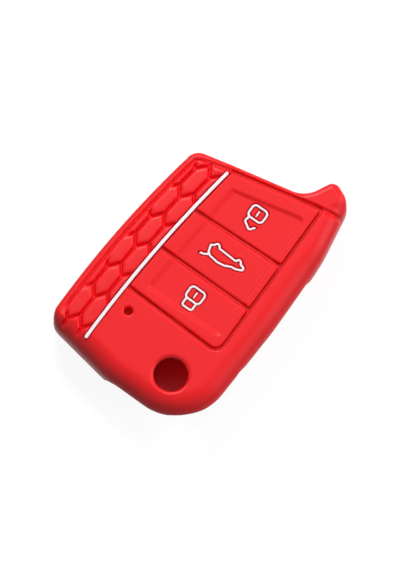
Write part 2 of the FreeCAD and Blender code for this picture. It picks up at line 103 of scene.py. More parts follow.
def add_node(
    tree: bpy.types.NodeTree,
    kind: str,
    values: dict | None = None,
    links: dict | None = None,
    **settings: object,
) -> bpy.types.Node:
    """Adds a shader node with its settings and links.

    Args:
        tree: Node tree that gets the node.
        kind: The node's type name.
        values: Constants by input name.
        links: Output sockets by the name of the input that they feed.
        **settings: The node's own properties.

    Returns:
        The new node.
    """
    node = tree.nodes.new(kind)
    for name, value in settings.items():
        setattr(node, name, value)
    for name, value in (values or {}).items():
        node.inputs[name].default_value = value
    for name, source in (links or {}).items():
        tree.links.new(source, node.inputs[name])
    return node


def new_material(name: str) -> tuple[bpy.types.Material, bpy.types.NodeTree]:
    """Makes a material with an empty node tree.

    Args:
        name: The material's name.

    Returns:
        The material and its tree.
    """
    material = bpy.data.materials.new(name)
    material.use_nodes = True
    material.node_tree.nodes.clear()
    return material, material.node_tree


@dataclass(frozen=True)
class MouldedSilicone:
    """Silicone rubber cured in a blasted steel mould.

    The blasted mould leaves a fine even grain, so the rubber has a soft wide sheen in place of
    a mirror highlight, and a little light passes through its thin edges.
    """

    name: str
    colour: str
    roughness: float = 0.4
    ior: float = 1.41
    # The grain takes part of the mirror light away.
    sheen: float = 0.38
    glow: float = 0.85
    glow_depth_mm: float = 1.0
    # Red light goes farthest in the rubber. Shares of that depth for red, green and blue.
    glow_reach: tuple[float, float, float] = (1.0, 0.2, 0.15)
    # Real blast grain is about 0.05 mm. It is drawn coarser so that it shows at all.
    grain_mm: float = 0.28
    grain_height_mm: float = 0.006
    grain_strength: float = 0.35
    grain_detail: float = 2.0
    grain_roughness: float = 0.55

    def material(self) -> bpy.types.Material:
        """Builds the shader.

        Returns:
            The material.
        """
        material, tree = new_material(self.name)
        place = add_node(tree, "ShaderNodeTexCoord").outputs["Object"]
        grit = {
            "Scale": 1 / (self.grain_mm * MM),
            "Detail": self.grain_detail,
            "Roughness": self.grain_roughness,
        }
        grain = add_node(tree, "ShaderNodeTexNoise", grit, {"Vector": place})
        height = {"Strength": self.grain_strength, "Distance": self.grain_height_mm * MM}
        bump = add_node(tree, "ShaderNodeBump", height, {"Height": grain.outputs["Fac"]})
        rubber = {
            "Base Color": linear(self.colour),
            "Roughness": self.roughness,
            "IOR": self.ior,
            "Specular IOR Level": self.sheen,
            "Subsurface Weight": self.glow,
            "Subsurface Radius": self.glow_reach,
            "Subsurface Scale": self.glow_depth_mm * MM,
        }
        normal = {"Normal": bump.outputs["Normal"]}
        shader = add_node(tree, "ShaderNodeBsdfPrincipled", rubber, normal)
        surface = {"Surface": shader.outputs["BSDF"]}
        add_node(tree, "ShaderNodeOutputMaterial", links=surface)
        return material


def seen_mix(
    tree: bpy.types.NodeTree, lit: bpy.types.NodeSocket, seen: bpy.types.NodeSocket
) -> bpy.types.NodeSocket:
    """Shows one shader to rays that see the background, and another to rays of light.

    The camera's rays see the background, and so do mirrored and passed ones.

    Args:
        tree: Node tree that gets the nodes.
        lit: Shader for rays of light.
        seen: Shader for rays that see the background.

    Returns:
        The mixed shader.
    """
    rays = add_node(tree, "ShaderNodeLightPath").outputs
    share = rays["Is Camera Ray"]
    for kind in ("Is Glossy Ray", "Is Transmission Ray"):
        links = {0: share, 1: rays[kind]}
        either = add_node(tree, "ShaderNodeMath", links=links, operation="MAXIMUM")
        share = either.outputs["Value"]
    mix = add_node(tree, "ShaderNodeMixShader", links={"Fac": share, 1: lit, 2: seen})
    return mix.outputs["Shader"]


@dataclass(frozen=True)
class StudioPaper:
    """Matte white paper: no sheen, and white to the camera, with the object's shadow on it."""

    name: str = "matte_white_paper"
    colour: str = "6a6a6a"
    # Paper that other surfaces see, darker so that it throws little light up at the sides.
    bounce_colour: str = "5a5a5a"
    lift: float = 0.92

    def material(self) -> bpy.types.Material:
        """Builds the shader.

        Returns:
            The material.
        """
        material, tree = new_material(self.name)
        dark, paper = (
            add_node(tree, "ShaderNodeBsdfDiffuse", {"Color": linear(colour)}).outputs["BSDF"]
            for colour in (self.bounce_colour, self.colour)
        )
        glow = add_node(tree, "ShaderNodeEmission", {"Strength": self.lift}).outputs["Emission"]
        bright = add_node(tree, "ShaderNodeAddShader", links={0: paper, 1: glow})
        surface = {"Surface": seen_mix(tree, dark, bright.outputs["Shader"])}
        add_node(tree, "ShaderNodeOutputMaterial", links=surface)
        return material


# Fields: distances in plan and ways to join solids.


def soft_step(low: float, high: float, value: Array) -> Array:
    """Rises smoothly from 0 where the value is low to 1 where it is high."""
    share = np.clip((value - low) / (high - low), 0, 1)
    return share * share * (3 - 2 * share)


def round_both(first: Array, second: Array, radius: float | Array) -> Array:
    """Distance to the common part of two solids, with a round edge where they meet."""
    over = np.hypot(np.maximum(first + radius, 0), np.maximum(second + radius, 0))
    return np.minimum(np.maximum(first, second), -radius) + over


def round_less(solid: Array, tool: Array, radius: float) -> Array:
    """Distance to a solid less a tool, with a round lip where they meet."""
    return round_both(solid, -tool, radius)


def soft_join(first: Array, second: Array, width: float) -> Array:
    """Distance to both solids, with a soft fillet of that width where they meet."""
    share = np.clip(0.5 + 0.5 * (second - first) / width, 0, 1)
    return second + (first - second) * share - width * share * (1 - share)


def bead(gap: Array, z: Array, top: float, floor: float, edge: float) -> Array:
    """Distance to a bead with a round upper edge, from the distance to its outline in plan."""
    return np.maximum(round_both(gap, z - top, edge), floor - z)


def places(shares: list[tuple[float, float]]) -> Array:
    """Points in plan from their shares of the cover's width and length."""
    return np.array(shares) * (WIDTH, LENGTH)


def unit(way: Array) -> Array:
    """A direction in plan, brought to a length of 1."""
    return way / np.hypot(*way)


def sides(points: Array, closed: bool) -> list[tuple[Array, Array]]:
    """Start and end of each side of a path."""
    pairs = list(zip(points, np.roll(points, -1, axis=0)))
    return pairs if closed else pairs[:-1]


def side_gap(x: Array, y: Array, start: Array, end: Array) -> tuple[Array, Array]:
    """Distance in plan to one side.

    Args:
        x: Places across.
        y: Places along.
        start: The side's start.
        end: The side's end.

    Returns:
        The distances, and the share of the side at the nearest point.
    """
    run = end - start
    share = (x - start[0]) * run[0] + (y - start[1]) * run[1]
    share = np.clip(share / max(run.dot(run), TINY), 0, 1)
    gap = np.hypot(x - start[0] - share * run[0], y - start[1] - share * run[1])
    return gap, share


def path_gap(x: Array, y: Array, points: Array, closed: bool = False) -> Array:
    """Distance in plan to a path.

    Args:
        x: Places across.
        y: Places along.
        points: The path's points.
        closed: Whether it returns to its start.

    Returns:
        The distances.
    """
    gaps = np.full(np.broadcast(x, y).shape, np.inf)
    for start, end in sides(points, closed):
        gaps = np.minimum(gaps, side_gap(x, y, start, end)[0])
    return gaps


def inside(x: Array, y: Array, points: Array) -> Array:
    """Whether places in plan lie within a closed path.

    Args:
        x: Places across.
        y: Places along.
        points: The path's points.

    Returns:
        True for each place within.
    """
    within = np.zeros(np.broadcast(x, y).shape, bool)
    for start, end in sides(points, True):
        if start[1] == end[1]:
            continue
        crosses = (start[1] > y) != (end[1] > y)
        at = start[0] + (y - start[1]) / (end[1] - start[1]) * (end[0] - start[0])
        within ^= crosses & (x < at)
    return within


def moved(points: Array, distance: float) -> Array:
    """A closed clockwise path with each side moved inwards.

    Args:
        points: The path's points.
        distance: How far the sides move.

    Returns:
        The new points.
    """
    result = []
    for i, point in enumerate(points):
        ways = unit(point - points[i - 1]), unit(points[(i + 1) % len(points)] - point)
        rights = [np.array((way[1], -way[0])) for way in ways]
        lean = 1 + rights[0].dot(rights[1])
        result.append(point + (rights[0] + rights[1]) * distance / lean)
    return np.array(result)


def area_gap(x: Array, y: Array, points: Array, radius: float = 0.0) -> Array:
    """Signed distance in plan to a closed clockwise path with round corners.

    Args:
        x: Places across.
        y: Places along.
        points: The path's points.
        radius: Radius of its corners.

    Returns:
        The distances, negative within.
    """
    core = moved(points, radius) if radius else points
    gap = path_gap(x, y, core, True)
    return np.where(inside(x, y, core), -gap, gap) - radius


def bend(before: Array, here: Array, after: Array, radius: float, steps: int) -> list[Array]:
    """Points of the arc that rounds one corner of a path.

    Args:
        before: Point ahead of the corner.
        here: The corner.
        after: Point past the corner.
        radius: Radius of the arc.
        steps: Number of stretches on the arc.

    Returns:
        The arc's points, in order.
    """
    back, ahead = unit(before - here), unit(after - here)
    half = math.acos(np.clip(back.dot(ahead), -1, 1)) / 2
    centre = here + unit(back + ahead) * radius / math.sin(half)
    start = here + back * radius / math.tan(half) - centre
    turn = math.pi - 2 * half
    if back[0] * ahead[1] - back[1] * ahead[0] > 0:
        turn = -turn
    arc = []
    for i in range(steps + 1):
        c, s = math.cos(turn * i / steps), math.sin(turn * i / steps)
        arc.append(centre + (c * start[0] - s * start[1], s * start[0] + c * start[1]))
    return arc


def eased(points: Array, radius: float, closed: bool, steps: int = 6) -> Array:
    """A path with its corners rounded.

    Args:
        points: The path's points.
        radius: Radius of the corners.
        closed: Whether it returns to its start.
        steps: Number of stretches on each arc.

    Returns:
        The points of the rounded path.
    """
    result = []
    for i, here in enumerate(points):
        if not closed and i in (0, len(points) - 1):
            result.append(here)
            continue
        result += bend(points[i - 1], here, points[(i + 1) % len(points)], radius, steps)
    return np.array(result)


@dataclass
class PlanMap:
    """Values over the plan of the cover, read with smooth slopes between its points."""

    step: float
    rule: Callable[[Array, Array], Array]
    blur: float = 0.0
    margin: float = 2.0
    # Widths of the blur at which its weights have all but ended.
    blur_reach: float = 3.0
    values: Array = field(init=False)

    def __post_init__(self) -> None:
        """Fills the map."""
        x = np.arange(-WIDTH / 2 - self.margin, WIDTH / 2 + self.margin, self.step)
        y = np.arange(-LENGTH / 2 - self.margin, LENGTH / 2 + self.margin, self.step)
        self.values = self.rule(x[:, None], y[None, :])
        if self.blur:
            self.soften()

    def soften(self) -> None:
        """Blurs the map, as a mould's edges are eased by hand."""
        reach = math.ceil(self.blur_reach * self.blur / self.step)
        offsets = np.arange(-reach, reach + 1) * self.step
        weights = np.exp(-0.5 * (offsets / self.blur) ** 2)
        weights /= weights.sum()
        for axis in (0, 1):
            pads = [(0, 0), (0, 0)]
            pads[axis] = (reach, reach)
            wide = np.pad(self.values, pads, mode="edge")
            count = self.values.shape[axis]
            self.values = sum(
                weight * np.take(wide, np.arange(i, i + count), axis=axis)
                for i, weight in enumerate(weights)
            )

    @staticmethod
    def weights(share: Array) -> list[Array]:
        """Weights of four neighbours along one axis for a cubic curve through the middle two.

        Args:
            share: Place between the middle two.

        Returns:
            Weights of the four neighbours.
        """
        square, cube = share**2, share**3
        return [
            (-cube + 2 * square - share) / 2,
            (3 * cube - 5 * square + 2) / 2,
            (-3 * cube + 4 * square + share) / 2,
            (cube - square) / 2,
        ]

    def at(self, x: Array, y: Array) -> Array:
        """Reads the map.

        Args:
            x: Places across.
            y: Places along.

        Returns:
            Values there.
        """
        total = 0.0
        cells, shares = [], []
        for place, size, count in (
            (x, WIDTH, self.values.shape[0]),
            (y, LENGTH, self.values.shape[1]),
        ):
            scaled = np.clip((place + size / 2 + self.margin) / self.step, 1, count - 3)
            cell = np.floor(scaled).astype(int)
            cells.append(cell)
            shares.append(self.weights(scaled - cell))
        for i in range(4):
            row = 0.0
            for j in range(4):
                row = row + shares[1][j] * self.values[cells[0] + i - 1, cells[1] + j - 1]
            total = total + shares[0][i] * row
        return total


# Meshes from fields.

# Corners of a cell of the grid.
CUBE = [(i, j, k) for i in (0, 1) for j in (0, 1) for k in (0, 1)]


@dataclass
class Moulding:
    """Turns a field into a mesh that lies on it, with the field's own normals."""

    name: str
    solid: Field
    low: tuple[float, float, float]
    high: tuple[float, float, float]
    step: float
    # With 0 the mesh stays as it is.
    most_triangles: int = 0
    # Heights of the grid's planes, where they aren't evenly spaced.
    heights: Array | None = None
    # Grid steps beyond the box. The odd shares keep the grid's planes off flat faces.
    steps_before: float = 1.37
    steps_after: float = 2.1
    settle_rounds: int = 3
    least_slope: float = 0.05
    # Longest move of a corner in one round, as a share of a grid step.
    longest_move: float = 0.6
    # Distance over which slopes are measured.
    reach: float = 0.02

    def grid(self) -> list[Array]:
        """Places of the grid's planes.

        Returns:
            Places along each axis, in millimetres.
        """
        before, after = self.steps_before * self.step, self.steps_after * self.step
        axes = [np.arange(a - before, b + after, self.step) for a, b in zip(self.low, self.high)]
        return axes if self.heights is None else [*axes[:2], self.heights]

    def net(self) -> tuple[Array, Array]:
        """Covers the field's surface with quads, one corner in each grid cell that it crosses.

        Returns:
            Corners, and the four corners of each quad.
        """
        axes = self.grid()
        values = np.broadcast_to(self.solid(*np.ix_(*axes)), [len(a) for a in axes])
        filled = values < 0
        shape = [n - 1 for n in values.shape]
        count = np.zeros(shape, np.int8)
        for corner in CUBE:
            count += filled[tuple(slice(c, c + n) for c, n in zip(corner, shape))]
        cells = np.argwhere((count > 0) & (count < len(CUBE)))
        number = np.full(shape, -1, np.int64)
        number[tuple(cells.T)] = np.arange(len(cells))
        return self.crossings(axes, values, cells), self.rings(filled, number)

    @staticmethod
    def crossings(axes: list[Array], values: Array, cells: Array) -> Array:
        """Middle of the places where the surface crosses the edges of each cell.

        Args:
            axes: Places of the grid's planes.
            values: Distances at the grid's points.
            cells: Numbers of the cells along each axis.

        Returns:
            One point for each cell.
        """
        total = np.zeros((len(cells), 3))
        hits = np.zeros(len(cells))
        edges = [(corner, axis) for corner in CUBE for axis in range(3) if not corner[axis]]
        for corner, axis in edges:
            first = cells + corner
            second = first + np.eye(3, dtype=int)[axis]
            a, b = values[tuple(first.T)], values[tuple(second.T)]
            crossed = (a < 0) != (b < 0)
            share = np.where(crossed, a / np.where(crossed, a - b, 1), 0)
            start, end = (
                np.stack([line[numbers] for line, numbers in zip(axes, place.T)], 1)
                for place in (first, second)
            )
            point = start + (end - start) * share[:, None]
            total += np.where(crossed[:, None], point, 0)
            hits += crossed
        return total / hits[:, None]

    @staticmethod
    def rings(filled: Array, number: Array) -> Array:
        """Quads round the grid's edges that the surface crosses, facing out.

        Args:
            filled: Whether each point of the grid is within the solid.
            number: Number of the corner in each cell.

        Returns:
            The four corners of each quad.
        """
        quads = []
        for axis in range(3):
            one, two = [a for a in range(3) if a != axis]
            start = [slice(1, -1)] * 3
            start[axis] = slice(0, -1)
            end = list(start)
            end[axis] = slice(1, None)
            crossed = filled[tuple(start)] != filled[tuple(end)]
            edges = np.argwhere(crossed) + [int(a != axis) for a in range(3)]
            ring = []
            for step_one, step_two in ((-1, -1), (0, -1), (0, 0), (-1, 0)):
                cell = edges.copy()
                cell[:, one] += step_one
                cell[:, two] += step_two
                ring.append(number[tuple(cell.T)])
            ring = np.stack(ring, 1)
            outward = filled[tuple(edges.T)] ^ (axis == 1)
            quads.append(np.where(outward[:, None], ring, ring[:, ::-1]))
        return np.concatenate(quads)

    def slope(self, points: Array) -> Array:
        """The field's slope at points.

        Args:
            points: Where to read it.

        Returns:
            Slope along each axis.
        """
        result = np.empty_like(points)
        for axis in range(3):
            ends = []
            for way in (1, -1):
                shifted = points.copy()
                shifted[:, axis] += way * self.reach
                ends.append(self.solid(*shifted.T))
            result[:, axis] = (ends[0] - ends[1]) / (2 * self.reach)
        return result

    def settle(self, points: Array) -> Array:
        """Moves points on to the field's surface.

        Args:
            points: Points near the surface.

        Returns:
            Points on it.
        """
        most = self.longest_move * self.step
        for _ in range(self.settle_rounds):
            slope = self.slope(points)
            steepness = np.maximum((slope**2).sum(1), self.least_slope)
            way = -self.solid(*points.T)[:, None] * slope / steepness[:, None]
            longest = np.maximum(np.linalg.norm(way, axis=1) / most, 1)
            points = points + way / longest[:, None]
        return points

    def build(self) -> bpy.types.Object:
        """Makes the object.

        Returns:
            The object, in the scene.
        """
        points, quads = self.net()
        points = self.settle(points)
        mesh = self.filled_mesh(points, quads)
        thing = bpy.data.objects.new(self.name, mesh)
        bpy.context.scene.collection.objects.link(thing)
        if self.most_triangles and 2 * len(quads) > self.most_triangles:
            self.thin(thing, self.most_triangles / (2 * len(quads)))
        self.dress_normals(thing.data)
        LOG.info("%s: %d faces", self.name, len(thing.data.polygons))
        return thing

    def filled_mesh(self, points: Array, quads: Array) -> bpy.types.Mesh:
        """A mesh of quads, in metres.

        Args:
            points: Corners, in millimetres.
            quads: The four corners of each quad.

        Returns:
            The mesh.
        """
        mesh = bpy.data.meshes.new(self.name)
        mesh.vertices.add(len(points))
        mesh.vertices.foreach_set("co", (points * MM).astype(np.float32).ravel())
        mesh.loops.add(quads.size)
        mesh.loops.foreach_set("vertex_index", quads.astype(np.int32).ravel())
        mesh.polygons.add(len(quads))
        mesh.polygons.foreach_set("loop_start", np.arange(0, quads.size, 4, dtype=np.int32))
        mesh.update(calc_edges=True)
        mesh.validate()
        return mesh

    def thin(self, thing: bpy.types.Object, share: float) -> None:
        """Takes out corners where the surface is even.

        Args:
            thing: The object.
            share: How much of its faces stays.
        """
        thing.modifiers.new("thin", "DECIMATE").ratio = share
        evaluated = thing.evaluated_get(bpy.context.evaluated_depsgraph_get())
        thinned = bpy.data.meshes.new_from_object(evaluated)
        thing.modifiers.clear()
        thing.data = thinned

    def dress_normals(self, mesh: bpy.types.Mesh) -> None:
        """Shades the mesh smooth, with the field's own slopes as its normals.

        Args:
            mesh: The finished mesh.
        """
        points = np.empty(3 * len(mesh.vertices), np.float32)
        mesh.vertices.foreach_get("co", points)
        slope = self.slope(points.reshape(-1, 3).astype(float) / MM)
        slope /= np.maximum(np.linalg.norm(slope, axis=1), TINY)[:, None]
        mesh.polygons.foreach_set("use_smooth", np.ones(len(mesh.polygons), bool))
        mesh.normals_split_custom_set_from_vertices(slope)


def boxed(node: str, margin: float = 0.0) -> list[tuple[float, ...]]:
    """Box of a CAD node in millimetres.

    Args:
        node: The node's name.
        margin: How far the box is let out sideways.

    Returns:
        Its lowest and its highest corner.
    """
    low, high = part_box(node)
    out = Vector((margin, margin, 0))
    return [tuple(low / MM - out), tuple(high / MM + out)]


def dress(
    thing: bpy.types.Object, material: bpy.types.Material, slot: Slot, body: Body, *nodes: str
) -> bpy.types.Object:
    """Gives a piece its material and its place in the part.

    Args:
        thing: The piece.
        material: Its finish.
        slot: The record's slot for that finish. Not used.
        body: The body that it rides on.
        *nodes: CAD nodes that it stands for.

    Returns:
        The piece.
    """
    thing.data.materials.clear()
    thing.data.materials.append(material)
    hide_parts(*nodes)
    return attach(thing, body.value)


# The cover's plan: outline with rims, stripe line, panel and honeycomb.


@dataclass(frozen=True)
class Corner:
    """One corner of the outline, with the rims of the side after it."""

    across_share: float
    along_share: float
    bend_share: float
    crown: float
    back_crown: float


@dataclass
class CoverOutline:
    """Outline of the cover in plan, with the rounding of its rims."""

    corners: list[Corner] = field(
        default_factory=lambda: [
            Corner(-0.3945, 0.3205, 0.091, 1.8, 3.0),
            Corner(0.2245, 0.4040, 0.396, 1.8, 3.0),
            Corner(0.3085, 0.5085, 0.299, 2.2, 3.0),
            Corner(0.4390, 0.4725, 0.440, 5.0, 8.0),
            Corner(0.4985, 0.2425, 0.254, 6.2, 9.5),
            Corner(0.5045, -0.0335, 0.076, 6.2, 9.5),
            Corner(0.4745, -0.5055, 0.545, 6.0, 9.0),
            Corner(-0.0720, -0.4995, 0.111, 6.0, 9.0),
            Corner(-0.5000, -0.4510, 0.205, 1.5, 3.0),
            Corner(-0.4945, -0.0605, 0.755, 1.5, 3.0),
        ]
    )
    arc_steps: int = 20
    map_step: float = 0.2
    depth: PlanMap = field(init=False)
    crown: PlanMap = field(init=False)
    back_crown: PlanMap = field(init=False)

    def __post_init__(self) -> None:
        """Fills the maps of depth and of both rims."""
        found: list[Array] = []

        def keep(x: Array, y: Array) -> Array:
            """Measures the plan once for all three maps, and gives the depths."""
            found.extend(self.measure(x, y))
            return found[0]

        self.depth = PlanMap(self.map_step, keep)
        self.crown, self.back_crown = (
            PlanMap(self.map_step, lambda x, y, rim=rim: rim) for rim in found[1:]
        )

    def measure(self, x: Array, y: Array) -> list[Array]:
        """Depth within the outline, and the rims of its nearest side.

        Args:
            x: Places across.
            y: Places along.

        Returns:
            Depths, upper rims and lower rims.
        """
        path, rims = self.path()
        best = np.full(np.broadcast(x, y).shape, np.inf)
        found = [np.zeros_like(best), np.zeros_like(best)]
        rim_pairs = zip(rims, np.roll(rims, -1, axis=0))
        for (start, end), (rim, next_rim) in zip(sides(path, True), rim_pairs):
            gap, share = side_gap(x, y, start, end)
            nearer = gap < best
            best = np.where(nearer, gap, best)
            for i in (0, 1):
                value = rim[i] + (next_rim[i] - rim[i]) * share
                found[i] = np.where(nearer, value, found[i])
        return [np.where(inside(x, y, path), best, -best), *found]

    def path(self) -> tuple[Array, Array]:
        """Points along the rounded outline.

        Returns:
            The points, and the upper and the lower rim at each.
        """
        points = places([(c.across_share, c.along_share) for c in self.corners])
        path, rims = [], []
        for i, corner in enumerate(self.corners):
            before, here, after = points[i - 1], points[i], points[(i + 1) % len(points)]
            lengths = np.hypot(*(here - before)), np.hypot(*(after - here))
            turn = math.acos((here - before).dot(after - here) / (lengths[0] * lengths[1]))
            radius = corner.bend_share * min(lengths) / math.tan(turn / 2)
            last = self.corners[i - 1]
            first_rims = np.array((last.crown, last.back_crown))
            change = (corner.crown, corner.back_crown) - first_rims
            for step, point in enumerate(bend(before, here, after, radius, self.arc_steps)):
                path.append(point)
                rims.append(first_rims + change * soft_step(0, self.arc_steps, step))
        return np.array(path), np.array(rims)


@dataclass
class StripeLine:
    """Bowed line of the stripe, which the honeycomb and the pads follow."""

    ends: Array = field(default_factory=lambda: places([(-0.1785, 0.3175), (-0.2730, -0.4340)]))
    bow: float = 1.2
    stretches: int = 30

    def across(self, y: Array) -> Array:
        """Place of the line across the cover.

        Args:
            y: Places along.

        Returns:
            Places across.
        """
        top, bottom = self.ends
        share = (top[1] - y) / (top[1] - bottom[1])
        return top[0] + (bottom[0] - top[0]) * share - 4 * self.bow * share * (1 - share)

    def path(self, trim: float) -> Array:
        """Points along the line, less a length at both ends."""
        along = np.linspace(self.ends[0][1] - trim, self.ends[1][1] + trim, self.stretches)
        return np.stack([self.across(along), along], 1)


# Corners of each button's cell, clockwise, as shares of the cover's width and length.
CELLS = {
    Body.UNLOCK: [(-0.1920, 0.3245), (0.3440, 0.3985), (0.3440, 0.1550), (-0.2160, 0.1450)],
    Body.BOOT: [(-0.2160, 0.1450), (0.3440, 0.1550), (0.3440, -0.0295), (-0.2440, -0.0270)],
    Body.LOCK: [(-0.2440, -0.0270), (0.3440, -0.0295), (0.3440, -0.2150), (-0.2625, -0.2020)],
}


@dataclass
class ButtonPanel:
    """Plan of the window in the face and of the pads in it."""

    stripe: StripeLine
    window_side: float = 0.70
    pad_side: float = 0.88
    pad_corner: float = 0.5
    window_corner: float = 1.4
    side_corner: float = 0.3
    end_corner: float = 2.4
    # Corners to the right of this place and below it are at the panel's lower end.
    end_from: tuple[float, float] = (0.0, -10.0)
    map_step: float = 0.15
    window: PlanMap = field(init=False)

    def __post_init__(self) -> None:
        """Fills the map of the window."""
        self.window = PlanMap(self.map_step, self.window_gap)

    def rounded(self, x: Array, y: Array, outline: Array, radius: float, end: float) -> Array:
        """Signed distance to a part of the panel, with a rounder corner at its lower end.

        Args:
            x: Places across.
            y: Places along.
            outline: Corners of the part.
            radius: Radius of its corners.
            end: Radius of the corner at the panel's lower end.

        Returns:
            The distances, negative within.
        """
        at_end = (x > self.end_from[0]) & (y < self.end_from[1])
        gap = area_gap(x, y, outline, radius)
        return np.where(at_end, area_gap(x, y, outline, end), gap)

    def window_gap(self, x: Array, y: Array) -> Array:
        """Signed distance to the window.

        Args:
            x: Places across.
            y: Places along.

        Returns:
            The distances, negative within.
        """
        corners = CELLS[Body.UNLOCK][:2] + CELLS[Body.LOCK][2:]
        outline = moved(places(corners), -GROOVE / 2)
        gap = self.rounded(x, y, outline, self.window_corner, self.end_corner + GROOVE)
        return np.maximum(gap, self.window_side - (x - self.stripe.across(y)))

    def pad_gap(self, body: Body, x: Array, y: Array) -> Array:
        """Signed distance to one pad.

        Args:
            body: The pad's body.
            x: Places across.
            y: Places along.

        Returns:
            The distances, negative within.
        """
        outline = moved(places(CELLS[body]), GROOVE / 2)
        end = self.end_corner if body is Body.LOCK else self.pad_corner
        gap = self.rounded(x, y, outline, self.pad_corner, end)
        side = self.pad_side - (x - self.stripe.across(y))
        return round_both(gap, side, self.side_corner)


@dataclass
class FaceRelief:
    """Relief of the face: the line under the upper rim, and the honeycomb with its lean."""

    outline: CoverOutline
    stripe: StripeLine
    rim_line: Array = field(
        default_factory=lambda: places(
            [
                (-0.5300, 0.2350),
                (-0.4105, 0.2780),
                (-0.3290, 0.3035),
                (-0.1920, 0.3245),
                (0.3440, 0.3985),
                (0.4925, 0.4150),
                (0.5600, 0.4225),
            ]
        )
    )
    # Shares of a groove's width from its middle between which its depth falls off.
    groove_floor: float = 0.04
    groove_brim: float = 0.62
    rim_bend: float = 8.0
    rim_width: float = 1.6
    rim_depth: float = 0.7
    # Places across between which the line under the rim gets its full depth.
    rim_fade: tuple[float, float] = (-21.5, -12.0)
    rim_end: float = 0.1
    comb_pitch: float = 4.9
    comb_row_pitch: float = 9.2
    comb_straight: float = 6.0
    comb_rows: int = 6
    comb_columns: int = 4
    comb_first_share: float = 0.2265
    comb_start_share: float = 0.54
    comb_groove: float = 1.05
    comb_depth: float = 0.9
    # How far the honeycomb reaches above the stripe's upper end.
    comb_lap: float = 2.0
    # Offsets from the stripe, and places along, between which the honeycomb fades in.
    comb_end: tuple[float, float] = (-9.0, -8.2)
    comb_fade: tuple[float, float] = (-37.0, -34.0)
    border_inset: float = 2.1
    border_width: float = 1.1
    border_depth: float = 0.55
    border_fade: tuple[float, float] = (-34.0, -30.5)
    lean: float = 0.1
    lean_start: float = 3.0
    pillow_reach: float = 1.5
    pillow_depth: float = 0.18
    map_step: float = 0.1
    blur: float = 0.08
    depth: PlanMap = field(init=False)

    def __post_init__(self) -> None:
        """Fills the map of depths below the face."""
        self.depth = PlanMap(self.map_step, self.draw, self.blur)

    def groove(self, gap: Array, width: float, depth: float) -> Array:
        """Depth of a groove with eased shoulders, at a distance from its middle."""
        low, high = self.groove_floor * width, self.groove_brim * width
        return depth * (1 - soft_step(low, high, gap))

    def swell(self, gap: Array) -> Array:
        """Depth to which a cell's soft edge falls at a distance from its wall."""
        return self.pillow_depth * (1 - soft_step(0, self.pillow_reach, gap))

    def comb_gap(self, x: Array, y: Array) -> Array:
        """Distance to the nearest wall of the honeycomb, in a plan where the stripe is straight.

        Args:
            x: Places across.
            y: Places along.

        Returns:
            The distances.
        """
        offset, along = np.broadcast_arrays(x - self.stripe.across(y), y)
        gaps = np.full(offset.shape, np.inf)
        half, side = self.comb_straight / 2, self.comb_pitch / 2
        # One row is added at each end, because its slanted walls reach in.
        for row in range(-1, self.comb_rows + 1):
            middle = self.comb_first_share * LENGTH - row * self.comb_row_pitch
            near = np.abs(along[0] - middle) < self.comb_row_pitch
            if not near.any():
                continue
            stagger = side if row % 2 else 0.0
            below = middle - self.comb_row_pitch + half
            for column in range(self.comb_columns):
                across = stagger - (self.comb_start_share + column) * self.comb_pitch
                foot = np.array((across, middle - half))
                ends = (across, middle + half), (across - side, below), (across + side, below)
                for end in ends:
                    gap = side_gap(offset[:, near], along[:, near], foot, np.array(end))[0]
                    gaps[:, near] = np.minimum(gaps[:, near], gap)
        return gaps

    def drop(self, x: Array, y: Array) -> Array:
        """How far the honeycomb's side of the face leans down towards the edge.

        Args:
            x: Places across.
            y: Places along.

        Returns:
            Depths below the level face.
        """
        reach = np.maximum(self.stripe.across(y) - x, 0)
        curved = np.minimum(reach, self.lean_start)
        return self.lean * (curved**2 / (2 * self.lean_start) + reach - curved)

    def draw(self, x: Array, y: Array) -> Array:
        """Depth of the relief.

        Args:
            x: Places across.
            y: Places along.

        Returns:
            Depths below the face.
        """
        offset = x - self.stripe.across(y)
        rim_gap = path_gap(x, y, eased(self.rim_line, self.rim_bend, False))
        rim_fade = self.rim_end + (1 - self.rim_end) * soft_step(*self.rim_fade, x)
        rim = self.groove(rim_gap, self.rim_width, self.rim_depth) * rim_fade
        inset = self.outline.depth.at(x, y) - self.border_inset
        border = np.abs(inset)
        along = soft_step(*self.border_fade, y)
        walls = np.where(offset < self.comb_end[0], np.inf, self.comb_gap(x, y))
        cells = self.groove(walls, self.comb_groove, self.comb_depth)
        edge = self.groove(border, self.border_width, self.border_depth)
        comb = np.maximum(cells * soft_step(*self.comb_end, offset), edge * along)
        pillow = np.maximum(self.swell(walls), self.swell(border) * along)
        comb = (comb + np.where(inset > 0, pillow, 0)) * soft_step(*self.comb_fade, y)
        line = np.interp(x, self.rim_line[:, 0], self.rim_line[:, 1])
        top = np.minimum(line, self.stripe.ends[0][1] + self.comb_lap)
        return np.maximum(rim, np.where((offset < 0) & (y < top), comb, 0))


# Pieces.


